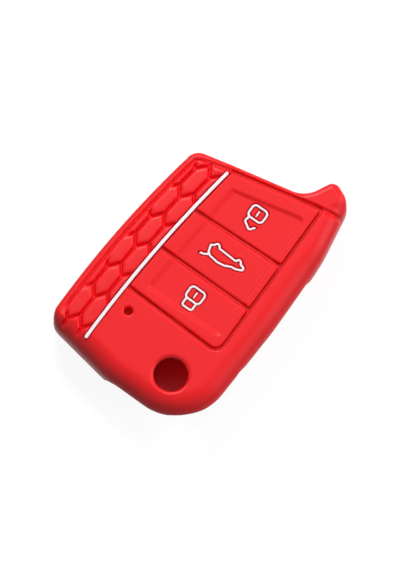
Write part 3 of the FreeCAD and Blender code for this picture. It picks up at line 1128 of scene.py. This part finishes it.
@dataclass
class Sleeve:
    """The red body of the cover: a closed shell round the hollow for the key."""

    outline: CoverOutline
    stripe: StripeLine
    panel: ButtonPanel
    relief: FaceRelief
    finish: bpy.types.Material
    # The moulding stays this far within the solid's outer faces.
    skin: float = 0.01
    # Heights between which the relief fades in on the sides.
    relief_fade: tuple[float, float] = (9.0, 13.0)
    least_inner_rim: float = 0.54
    release_shares: tuple[float, float] = (0.2086, -0.3684)
    release_radius: float = 4.7
    release_lip: float = 1.3
    # The pit over the pilot light, and the cup below the face that keeps it blind.
    light_shares: tuple[float, float] = (-0.1730, -0.2725)
    light_radius: float = 1.2
    light_lip: float = 0.6
    light_floor: float = 13.0
    light_cup: float = 2.2
    light_cup_floor: float = 12.3
    hole_floor: float = 12.0
    window_lip: float = 0.55
    recess_half: float = 0.80
    recess_depth: float = 1.1
    recess_lip: float = 0.12
    recess_trim: float = 0.55
    recess_map_step: float = 0.12
    slot_low: tuple[float, float, float] = (20.9, -17.95, 6.0)
    slot_high: tuple[float, float, float] = (30.0, 14.7, 11.0)
    mouth_floor: float = 2.0
    mouth_roof: float = 11.6
    mouth_side_low: tuple[float, float] = (17.3, -45.0)
    mouth_side_high: tuple[float, float] = (30.0, -16.7)
    mouth_end_low: tuple[float, float] = (-3.7, -45.0)
    mouth_end_high: tuple[float, float] = (30.0, -31.8)
    mouth_corner: float = 1.6
    mouth_end_corner: float = 4.6
    mouth_lip: float = 0.7
    mouth_fillet: float = 2.0
    slot_fillet: float = 2.5
    # Room for the lower end, which bulges a little past the nominal length.
    end_room: float = 0.2
    step: float = 0.23
    # The grid is coarse below the face. It starts below the back by a share of a step.
    coarse_step: float = 0.5
    coarse_start: float = 0.68
    fine_from: float = 14.0
    most_triangles: int = 190000
    recess_map: PlanMap = field(init=False)

    def __post_init__(self) -> None:
        """Fills the map of the stripe's recess."""
        path = self.stripe.path(self.recess_trim)
        self.recess_map = PlanMap(self.recess_map_step, lambda x, y: path_gap(x, y, path))

    @staticmethod
    def hole_gap(x: Array, y: Array, shares: tuple[float, float], radius: float) -> Array:
        """Signed distance in plan to a round hole."""
        middle = places([shares])[0]
        return np.hypot(x - middle[0], y - middle[1]) - radius

    @staticmethod
    def block(x: Array, y: Array, z: Array, low: tuple, high: tuple, radius: float) -> Array:
        """Distance to a block with round edges.

        Args:
            x: Places across.
            y: Places along.
            z: Heights.
            low: Its lowest corner.
            high: Its highest corner.
            radius: Radius of its edges.

        Returns:
            The distances.
        """
        over = [
            np.abs(p - (a + b) / 2) - (b - a) / 2 + radius
            for p, a, b in zip((x, y, z), low, high)
        ]
        outer = np.sqrt(sum(np.maximum(o, 0) ** 2 for o in over))
        return outer + np.minimum(np.maximum(np.maximum(*over[:2]), over[2]), 0) - radius

    def solid(self, x: Array, y: Array, z: Array) -> Array:
        """Distance to the sleeve.

        Args:
            x: Places across.
            y: Places along.
            z: Heights.

        Returns:
            The distances, negative within the silicone.
        """
        side = self.skin - self.outline.depth.at(x, y)
        crown = self.outline.crown.at(x, y)
        back = self.outline.back_crown.at(x, y)
        relief = self.relief.depth.at(x, y) * soft_step(*self.relief_fade, z)
        height = z - ROOF + self.relief.drop(x, y)
        top = round_both(side, height + self.skin, crown) + relief
        bottom = round_both(side, self.skin - z, back)
        least = self.least_inner_rim
        inner_top = round_both(side + WALL, height + WALL, np.maximum(crown - WALL, least))
        inner_bottom = round_both(side + WALL, WALL - z, np.maximum(back - WALL, least))
        shell = np.maximum(np.maximum(top, bottom), -np.maximum(inner_top, inner_bottom))
        return self.openings(shell, x, y, z)

    def openings(self, shell: Array, x: Array, y: Array, z: Array) -> Array:
        """The shell with its openings cut.

        Args:
            shell: Distances to the closed shell.
            x: Places across.
            y: Places along.
            z: Heights.

        Returns:
            Distances to the open shell.
        """
        slot = self.block(x, y, z, self.slot_low, self.slot_high, self.mouth_corner)
        side, end = (
            self.block(x, y, z, (*low, self.mouth_floor), (*high, self.mouth_roof), corner)
            for low, high, corner in (
                (self.mouth_side_low, self.mouth_side_high, self.mouth_corner),
                (self.mouth_end_low, self.mouth_end_high, self.mouth_end_corner),
            )
        )
        mouth = soft_join(soft_join(side, end, self.mouth_fillet), slot, self.slot_fillet)
        shell = round_less(shell, mouth, self.mouth_lip)
        cup = self.hole_gap(x, y, self.light_shares, self.light_cup)
        cup = np.maximum(np.maximum(cup, self.light_cup_floor - z), z - ROOF + WALL / 2)
        shell = np.minimum(shell, cup)
        for shares, radius, floor, lip in (
            (self.release_shares, self.release_radius, self.hole_floor, self.release_lip),
            (self.light_shares, self.light_radius, self.light_floor, self.light_lip),
        ):
            hole = self.hole_gap(x, y, shares, radius)
            shell = round_less(shell, np.maximum(hole, floor - z), lip)
        window = np.maximum(self.panel.window.at(x, y), self.hole_floor - z)
        shell = round_less(shell, window, self.window_lip)
        recess = self.recess_map.at(x, y) - self.recess_half
        recess = np.maximum(recess, ROOF - self.recess_depth - z)
        return round_less(shell, recess, self.recess_lip)

    def build(self) -> bpy.types.Object:
        """Makes the sleeve.

        Returns:
            The piece.
        """
        low = (-WIDTH / 2, -LENGTH / 2 - self.end_room, 0.0)
        high = (WIDTH / 2, LENGTH / 2, ROOF)
        start = -self.coarse_start * self.coarse_step
        coarse = np.arange(start, self.fine_from, self.coarse_step)
        fine = np.arange(self.fine_from, ROOF + 2 * self.step, self.step)
        thing = Moulding(
            "sleeve_moulding",
            self.solid,
            low,
            high,
            self.step,
            self.most_triangles,
            np.concatenate([coarse, fine]),
        ).build()
        return dress(thing, self.finish, Slot.RED, Body.COVER, "sleeve")


@dataclass
class ButtonWeb:
    """Thin web at the bottom of the grooves round the pads."""

    panel: ButtonPanel
    finish: bpy.types.Material
    top: float = 15.7
    thickness: float = 0.5
    lap: float = 0.25
    gap: float = 0.06
    margin: float = 0.4
    step: float = 0.13
    map_step: float = 0.15
    pad_maps: list[PlanMap] = field(init=False)

    def __post_init__(self) -> None:
        """Fills the maps of the pads."""
        rules = [partial(self.panel.pad_gap, body) for body in CELLS]
        self.pad_maps = [PlanMap(self.map_step, rule) for rule in rules]

    def solid(self, x: Array, y: Array, z: Array) -> Array:
        """Distance to the web.

        Args:
            x: Places across.
            y: Places along.
            z: Heights.

        Returns:
            The distances.
        """
        web = self.panel.window.at(x, y) - self.lap
        for pad in self.pad_maps:
            web = np.maximum(web, self.gap - pad.at(x, y))
        return np.maximum(np.maximum(web, z - self.top), self.top - self.thickness - z)

    def build(self) -> bpy.types.Object:
        """Makes the web.

        Returns:
            The piece.
        """
        box = boxed("button_web", self.margin)
        thing = Moulding("button_web_moulding", self.solid, *box, self.step).build()
        return dress(thing, self.finish, Slot.RED, Body.COVER, "button_web")


@dataclass
class AccentStripe:
    """White silicone bead in its recess beside the buttons."""

    stripe: StripeLine
    finish: bpy.types.Material
    half: float = 0.46
    depth: float = 1.1
    crest: float = 0.03
    edge: float = 0.07
    step: float = 0.12

    def solid(self, x: Array, y: Array, z: Array) -> Array:
        """Distance to the bead."""
        gap = path_gap(x, y, self.stripe.path(self.half)) - self.half
        return bead(gap, z, ROOF - self.crest, ROOF - self.depth, self.edge)

    def build(self) -> bpy.types.Object:
        """Makes the stripe.

        Returns:
            The piece.
        """
        box = boxed("accent_stripe")
        thing = Moulding("accent_stripe_bead", self.solid, *box, self.step).build()
        return dress(thing, self.finish, Slot.WHITE, Body.COVER, "accent_stripe")


@dataclass(frozen=True)
class Drawing:
    """White lines of a symbol: paths with a line width."""

    node: str
    lines: tuple[tuple[Array, bool], ...]
    width: float

    def gap(self, x: Array, y: Array) -> Array:
        """Signed distance to the lines, negative within."""
        gaps = [path_gap(x, y, points, closed) for points, closed in self.lines]
        return np.minimum.reduce(gaps) - self.width / 2


@dataclass
class Symbols:
    """Drawings of the white symbols on the pads."""

    line: float = 0.58
    slit: float = 0.46
    slit_height: float = 1.9
    lock_size: tuple[float, float] = (4.75, 3.8)
    lock_corner: float = 1.1
    shackle_corner: float = 0.6
    boot_size: tuple[float, float] = (11.4, 4.3)
    boot_corner: float = 0.35
    slit_shares: tuple = ((0.0, 1.0), (0.0, -1.0))
    body_shares: tuple = ((-0.5, -0.5), (-0.5, 0.5), (0.5, 0.5), (0.5, -0.5))
    shut_shares: tuple = ((-0.345, -0.5), (-0.345, -1.124), (0.337, -1.124), (0.337, -0.5))
    open_shares: tuple = ((-0.316, -0.5), (-0.404, -0.929), (0.114, -1.350), (0.328, -0.995))
    lid_shares: tuple = ((-0.404, -0.384), (-0.509, -0.556), (-0.598, -0.612))
    boot_shares: tuple = (
        (-0.498, 0.198), (-0.417, 0.326), (-0.386, 0.500), (-0.316, 0.500), (-0.263, 0.314),
        (0.237, 0.244), (0.272, 0.430), (0.346, 0.430), (0.382, 0.244), (0.487, 0.186),
        (0.504, -0.012), (0.342, -0.198), (0.237, -0.221), (0.070, -0.430), (-0.123, -0.500),
        (-0.364, -0.407), (-0.443, -0.244), (-0.474, 0.035),
    )
    middles: dict[Body, tuple[float, float]] = field(
        default_factory=lambda: {
            Body.UNLOCK: (0.0800, 0.2585),
            Body.BOOT: (0.0815, 0.0680),
            Body.LOCK: (0.0665, -0.0950),
        }
    )

    def stroke(
        self, body: Body, shares: tuple, size: tuple[float, float], corner: float, closed: bool
    ) -> tuple[Array, bool]:
        """One line of a symbol with round corners, and whether it is closed."""
        middle = places([self.middles[body]])[0]
        return eased(middle + np.array(shares) * size, corner, closed), closed

    def drawings(self, body: Body) -> list[Drawing]:
        """The drawings on one pad.

        Args:
            body: The pad's body.

        Returns:
            Its drawings.
        """
        if body is Body.BOOT:
            car = self.stroke(body, self.boot_shares, self.boot_size, self.boot_corner, True)
            lid = self.stroke(body, self.lid_shares, self.boot_size, self.boot_corner, False)
            return [Drawing("boot_symbol", (car, lid), self.line)]
        shares = self.open_shares if body is Body.UNLOCK else self.shut_shares
        case = self.stroke(body, self.body_shares, self.lock_size, self.lock_corner, True)
        shackle = self.stroke(body, shares, self.lock_size, self.shackle_corner, False)
        reach = (self.slit_height - self.slit) / 2
        slit = self.stroke(body, self.slit_shares, (0.0, reach), 0.0, False)
        return [
            Drawing(f"{body.value}_symbol", (case, shackle), self.line),
            Drawing(f"{body.value}_symbol_slit", (slit,), self.slit),
        ]


@dataclass
class ButtonPad:
    """One soft button: a pad with the dish that runs across all three, and its white symbol."""

    body: Body
    panel: ButtonPanel
    symbols: Symbols
    red: bpy.types.Material
    white: bpy.types.Material
    thickness: float = 2.6
    skin: float = 0.02
    edge: float = 0.6
    under_edge: float = 0.25
    dish_corner: float = 1.6
    dish_depth: float = 0.5
    dish_slope: tuple[float, float] = (-0.2, 1.1)
    dish_left_slope: tuple[float, float] = (-0.2, 2.0)
    dish_shares: tuple = (
        (-0.1220, 0.2790), (0.3025, 0.3405), (0.3025, -0.1705), (-0.1790, -0.1705)
    )
    symbol_depth: float = 0.9
    symbol_rise: float = 0.04
    symbol_gap: float = 0.34
    symbol_edge: float = 0.12
    step: float = 0.22
    symbol_step: float = 0.09
    side_map_step: float = 0.12
    dish_map_step: float = 0.15
    pocket_map_step: float = 0.1
    drawings: list[Drawing] = field(init=False)
    side_map: PlanMap = field(init=False)
    dish_map: PlanMap = field(init=False)
    pocket_map: PlanMap = field(init=False)

    def __post_init__(self) -> None:
        """Fills the maps of the pad's side, dish and symbol pockets."""
        self.drawings = self.symbols.drawings(self.body)
        self.side_map = PlanMap(self.side_map_step, partial(self.panel.pad_gap, self.body))
        self.dish_map = PlanMap(self.dish_map_step, self.dish)
        self.pocket_map = PlanMap(self.pocket_map_step, self.symbol_gaps)

    def symbol_gaps(self, x: Array, y: Array) -> Array:
        """Signed distance in plan to the nearest line of the pad's symbols."""
        return np.minimum.reduce([drawing.gap(x, y) for drawing in self.drawings])

    def dish(self, x: Array, y: Array) -> Array:
        """Depth of the dish.

        Args:
            x: Places across.
            y: Places along.

        Returns:
            Depths below the face.
        """
        corners = places(list(self.dish_shares))
        gap = area_gap(x, y, corners, self.dish_corner)
        left = x - np.interp(y, corners[[3, 0], 1], corners[[3, 0], 0])
        rise = soft_step(*self.dish_slope, -gap) * soft_step(*self.dish_left_slope, left)
        return self.dish_depth * rise

    def solid(self, x: Array, y: Array, z: Array) -> Array:
        """Distance to the pad.

        Args:
            x: Places across.
            y: Places along.
            z: Heights.

        Returns:
            The distances.
        """
        side = self.side_map.at(x, y)
        pad = round_both(side, z + self.dish_map.at(x, y) - ROOF + self.skin, self.edge)
        pad = round_both(pad, ROOF - self.thickness - z, self.under_edge)
        pocket = self.pocket_map.at(x, y) - self.symbol_gap
        pocket = np.maximum(pocket, self.symbol_floor() - z)
        return round_less(pad, pocket, self.symbol_edge)

    def symbol_floor(self) -> float:
        """Height of the bottom of the symbol's pocket."""
        return ROOF - self.dish_depth - self.symbol_depth

    def build(self) -> list[bpy.types.Object]:
        """Makes the pad and its symbols.

        Returns:
            The pieces.
        """
        name = f"{self.body.value}_button"
        pad = Moulding(f"{name}_pad", self.solid, *boxed(name), self.step).build()
        pad = dress(pad, self.red, Slot.RED, self.body, name)
        return [pad, *(self.inlay(drawing) for drawing in self.drawings)]

    def inlay(self, drawing: Drawing) -> bpy.types.Object:
        """Makes one white symbol.

        Args:
            drawing: Its lines.

        Returns:
            The piece.
        """
        top = ROOF - self.dish_depth + self.symbol_rise

        def solid(x: Array, y: Array, z: Array) -> Array:
            """Distance to the symbol."""
            return bead(drawing.gap(x, y), z, top, self.symbol_floor(), self.symbol_edge)

        name, box = f"{drawing.node}_inlay", boxed(drawing.node)
        thing = Moulding(name, solid, *box, self.symbol_step).build()
        return dress(thing, self.white, Slot.WHITE, self.body, drawing.node)


@dataclass(frozen=True)
class Lamp:
    """A soft round lamp that faces the object."""

    name: str
    watts: float
    size: float
    # Metres to the right of the object, beyond it and above it, as the camera sees it.
    right: float
    away: float
    up: float


@dataclass
class Studio:
    """Paper floor, soft lamps and the camera, seen as in the photograph."""

    azimuth: float = 35.5
    elevation: float = 78.0
    pixels_per_mm: float = 3.6
    frame_height: int = 570
    aim_mm: tuple[float, float, float] = (2.9, -4.72, 17.0)
    distance: float = 0.6
    clip: tuple[float, float] = (0.01, 10.0)
    floor_size: float = 6.0
    room_colour: str = "ffffff"
    room_strength: float = 0.2
    seen_strength: float = 1.0
    lamps: tuple[Lamp, ...] = (
        Lamp("key", 6.4, 0.3, -0.1, 0.66, 0.67),
        Lamp("fill", 5.3, 0.9, 0.84, 0.05, 0.33),
        Lamp("top", 1.1, 0.12, 0.28, 0.30, 1.05),
    )

    def build(self) -> None:
        """Sets up the studio."""
        bpy.context.scene.view_settings.view_transform = "Standard"
        self.floor()
        self.room()
        for lamp in self.lamps:
            self.hang(lamp)
        self.camera()

    def floor(self) -> None:
        """Lays the paper."""
        half = self.floor_size / 2
        mesh = bpy.data.meshes.new("paper_floor")
        ends = [(-half, -half, 0), (half, -half, 0), (half, half, 0), (-half, half, 0)]
        mesh.from_pydata(ends, [], [(0, 1, 2, 3)])
        mesh.materials.append(StudioPaper().material())
        floor = bpy.data.objects.new("paper_floor", mesh)
        bpy.context.scene.collection.objects.link(floor)

    def room(self) -> None:
        """Lights the room evenly, and shows white beyond the floor."""
        world = bpy.data.worlds.new("studio_room")
        bpy.context.scene.world = world
        world.use_nodes = True
        tree = world.node_tree
        tree.nodes.clear()
        colour = linear(self.room_colour)
        lit, seen = (
            add_node(tree, "ShaderNodeBackground", {"Color": colour, "Strength": strength})
            for strength in (self.room_strength, self.seen_strength)
        )
        mix = seen_mix(tree, lit.outputs["Background"], seen.outputs["Background"])
        add_node(tree, "ShaderNodeOutputWorld", links={"Surface": mix})

    @staticmethod
    def aimed(name: str, data: bpy.types.ID, where: Vector, way: Vector) -> bpy.types.Object:
        """Puts a lamp or a camera in the scene and turns it.

        Args:
            name: Its name.
            data: The lamp or camera.
            where: Its place, in metres.
            way: Direction in which it looks.

        Returns:
            The object.
        """
        thing = bpy.data.objects.new(name, data)
        thing.location = where
        thing.rotation_mode = "QUATERNION"
        thing.rotation_quaternion = way.to_track_quat("-Z", "Y")
        bpy.context.scene.collection.objects.link(thing)
        return thing

    def hang(self, lamp: Lamp) -> None:
        """Adds a lamp.

        Args:
            lamp: The lamp.
        """
        a = math.radians(self.azimuth)
        across = Vector((math.cos(a), math.sin(a), 0))
        beyond = Vector((-math.sin(a), math.cos(a), 0))
        where = across * lamp.right + beyond * lamp.away + Vector((0, 0, lamp.up))
        light = bpy.data.lights.new(lamp.name, "AREA")
        light.energy = lamp.watts
        light.shape = "DISK"
        light.size = lamp.size
        self.aimed(lamp.name, light, where, -where)

    def camera(self) -> None:
        """Adds the camera at the photograph's angle."""
        lens = bpy.data.cameras.new("camera")
        lens.type = "ORTHO"
        lens.ortho_scale = self.frame_height / self.pixels_per_mm * MM
        lens.clip_start, lens.clip_end = self.clip
        a, e = math.radians(self.azimuth), math.radians(self.elevation)
        back = Vector((math.sin(a) * math.cos(e), -math.cos(a) * math.cos(e), math.sin(e)))
        where = Vector(self.aim_mm) * MM + back * self.distance
        bpy.context.scene.camera = self.aimed("camera", lens, where, -back)


def main() -> None:
    """Builds the cover and its studio."""
    logging.basicConfig(level=logging.INFO, format="%(message)s")
    red = MouldedSilicone("red_silicone_blasted_mould", "f40e1a").material()
    white = MouldedSilicone(
        "white_silicone_second_shot", "fdf3f8", roughness=0.5, glow=0.05
    ).material()
    stripe = StripeLine()
    panel = ButtonPanel(stripe)
    outline = CoverOutline()
    sleeve = Sleeve(outline, stripe, panel, FaceRelief(outline, stripe), red)
    pieces = [sleeve.build(), ButtonWeb(panel, red).build(), AccentStripe(stripe, white).build()]
    symbols = Symbols()
    for body in CELLS:
        pieces += ButtonPad(body, panel, symbols, red, white).build()
    Studio().build()


if __name__ == "__main__":
    main()
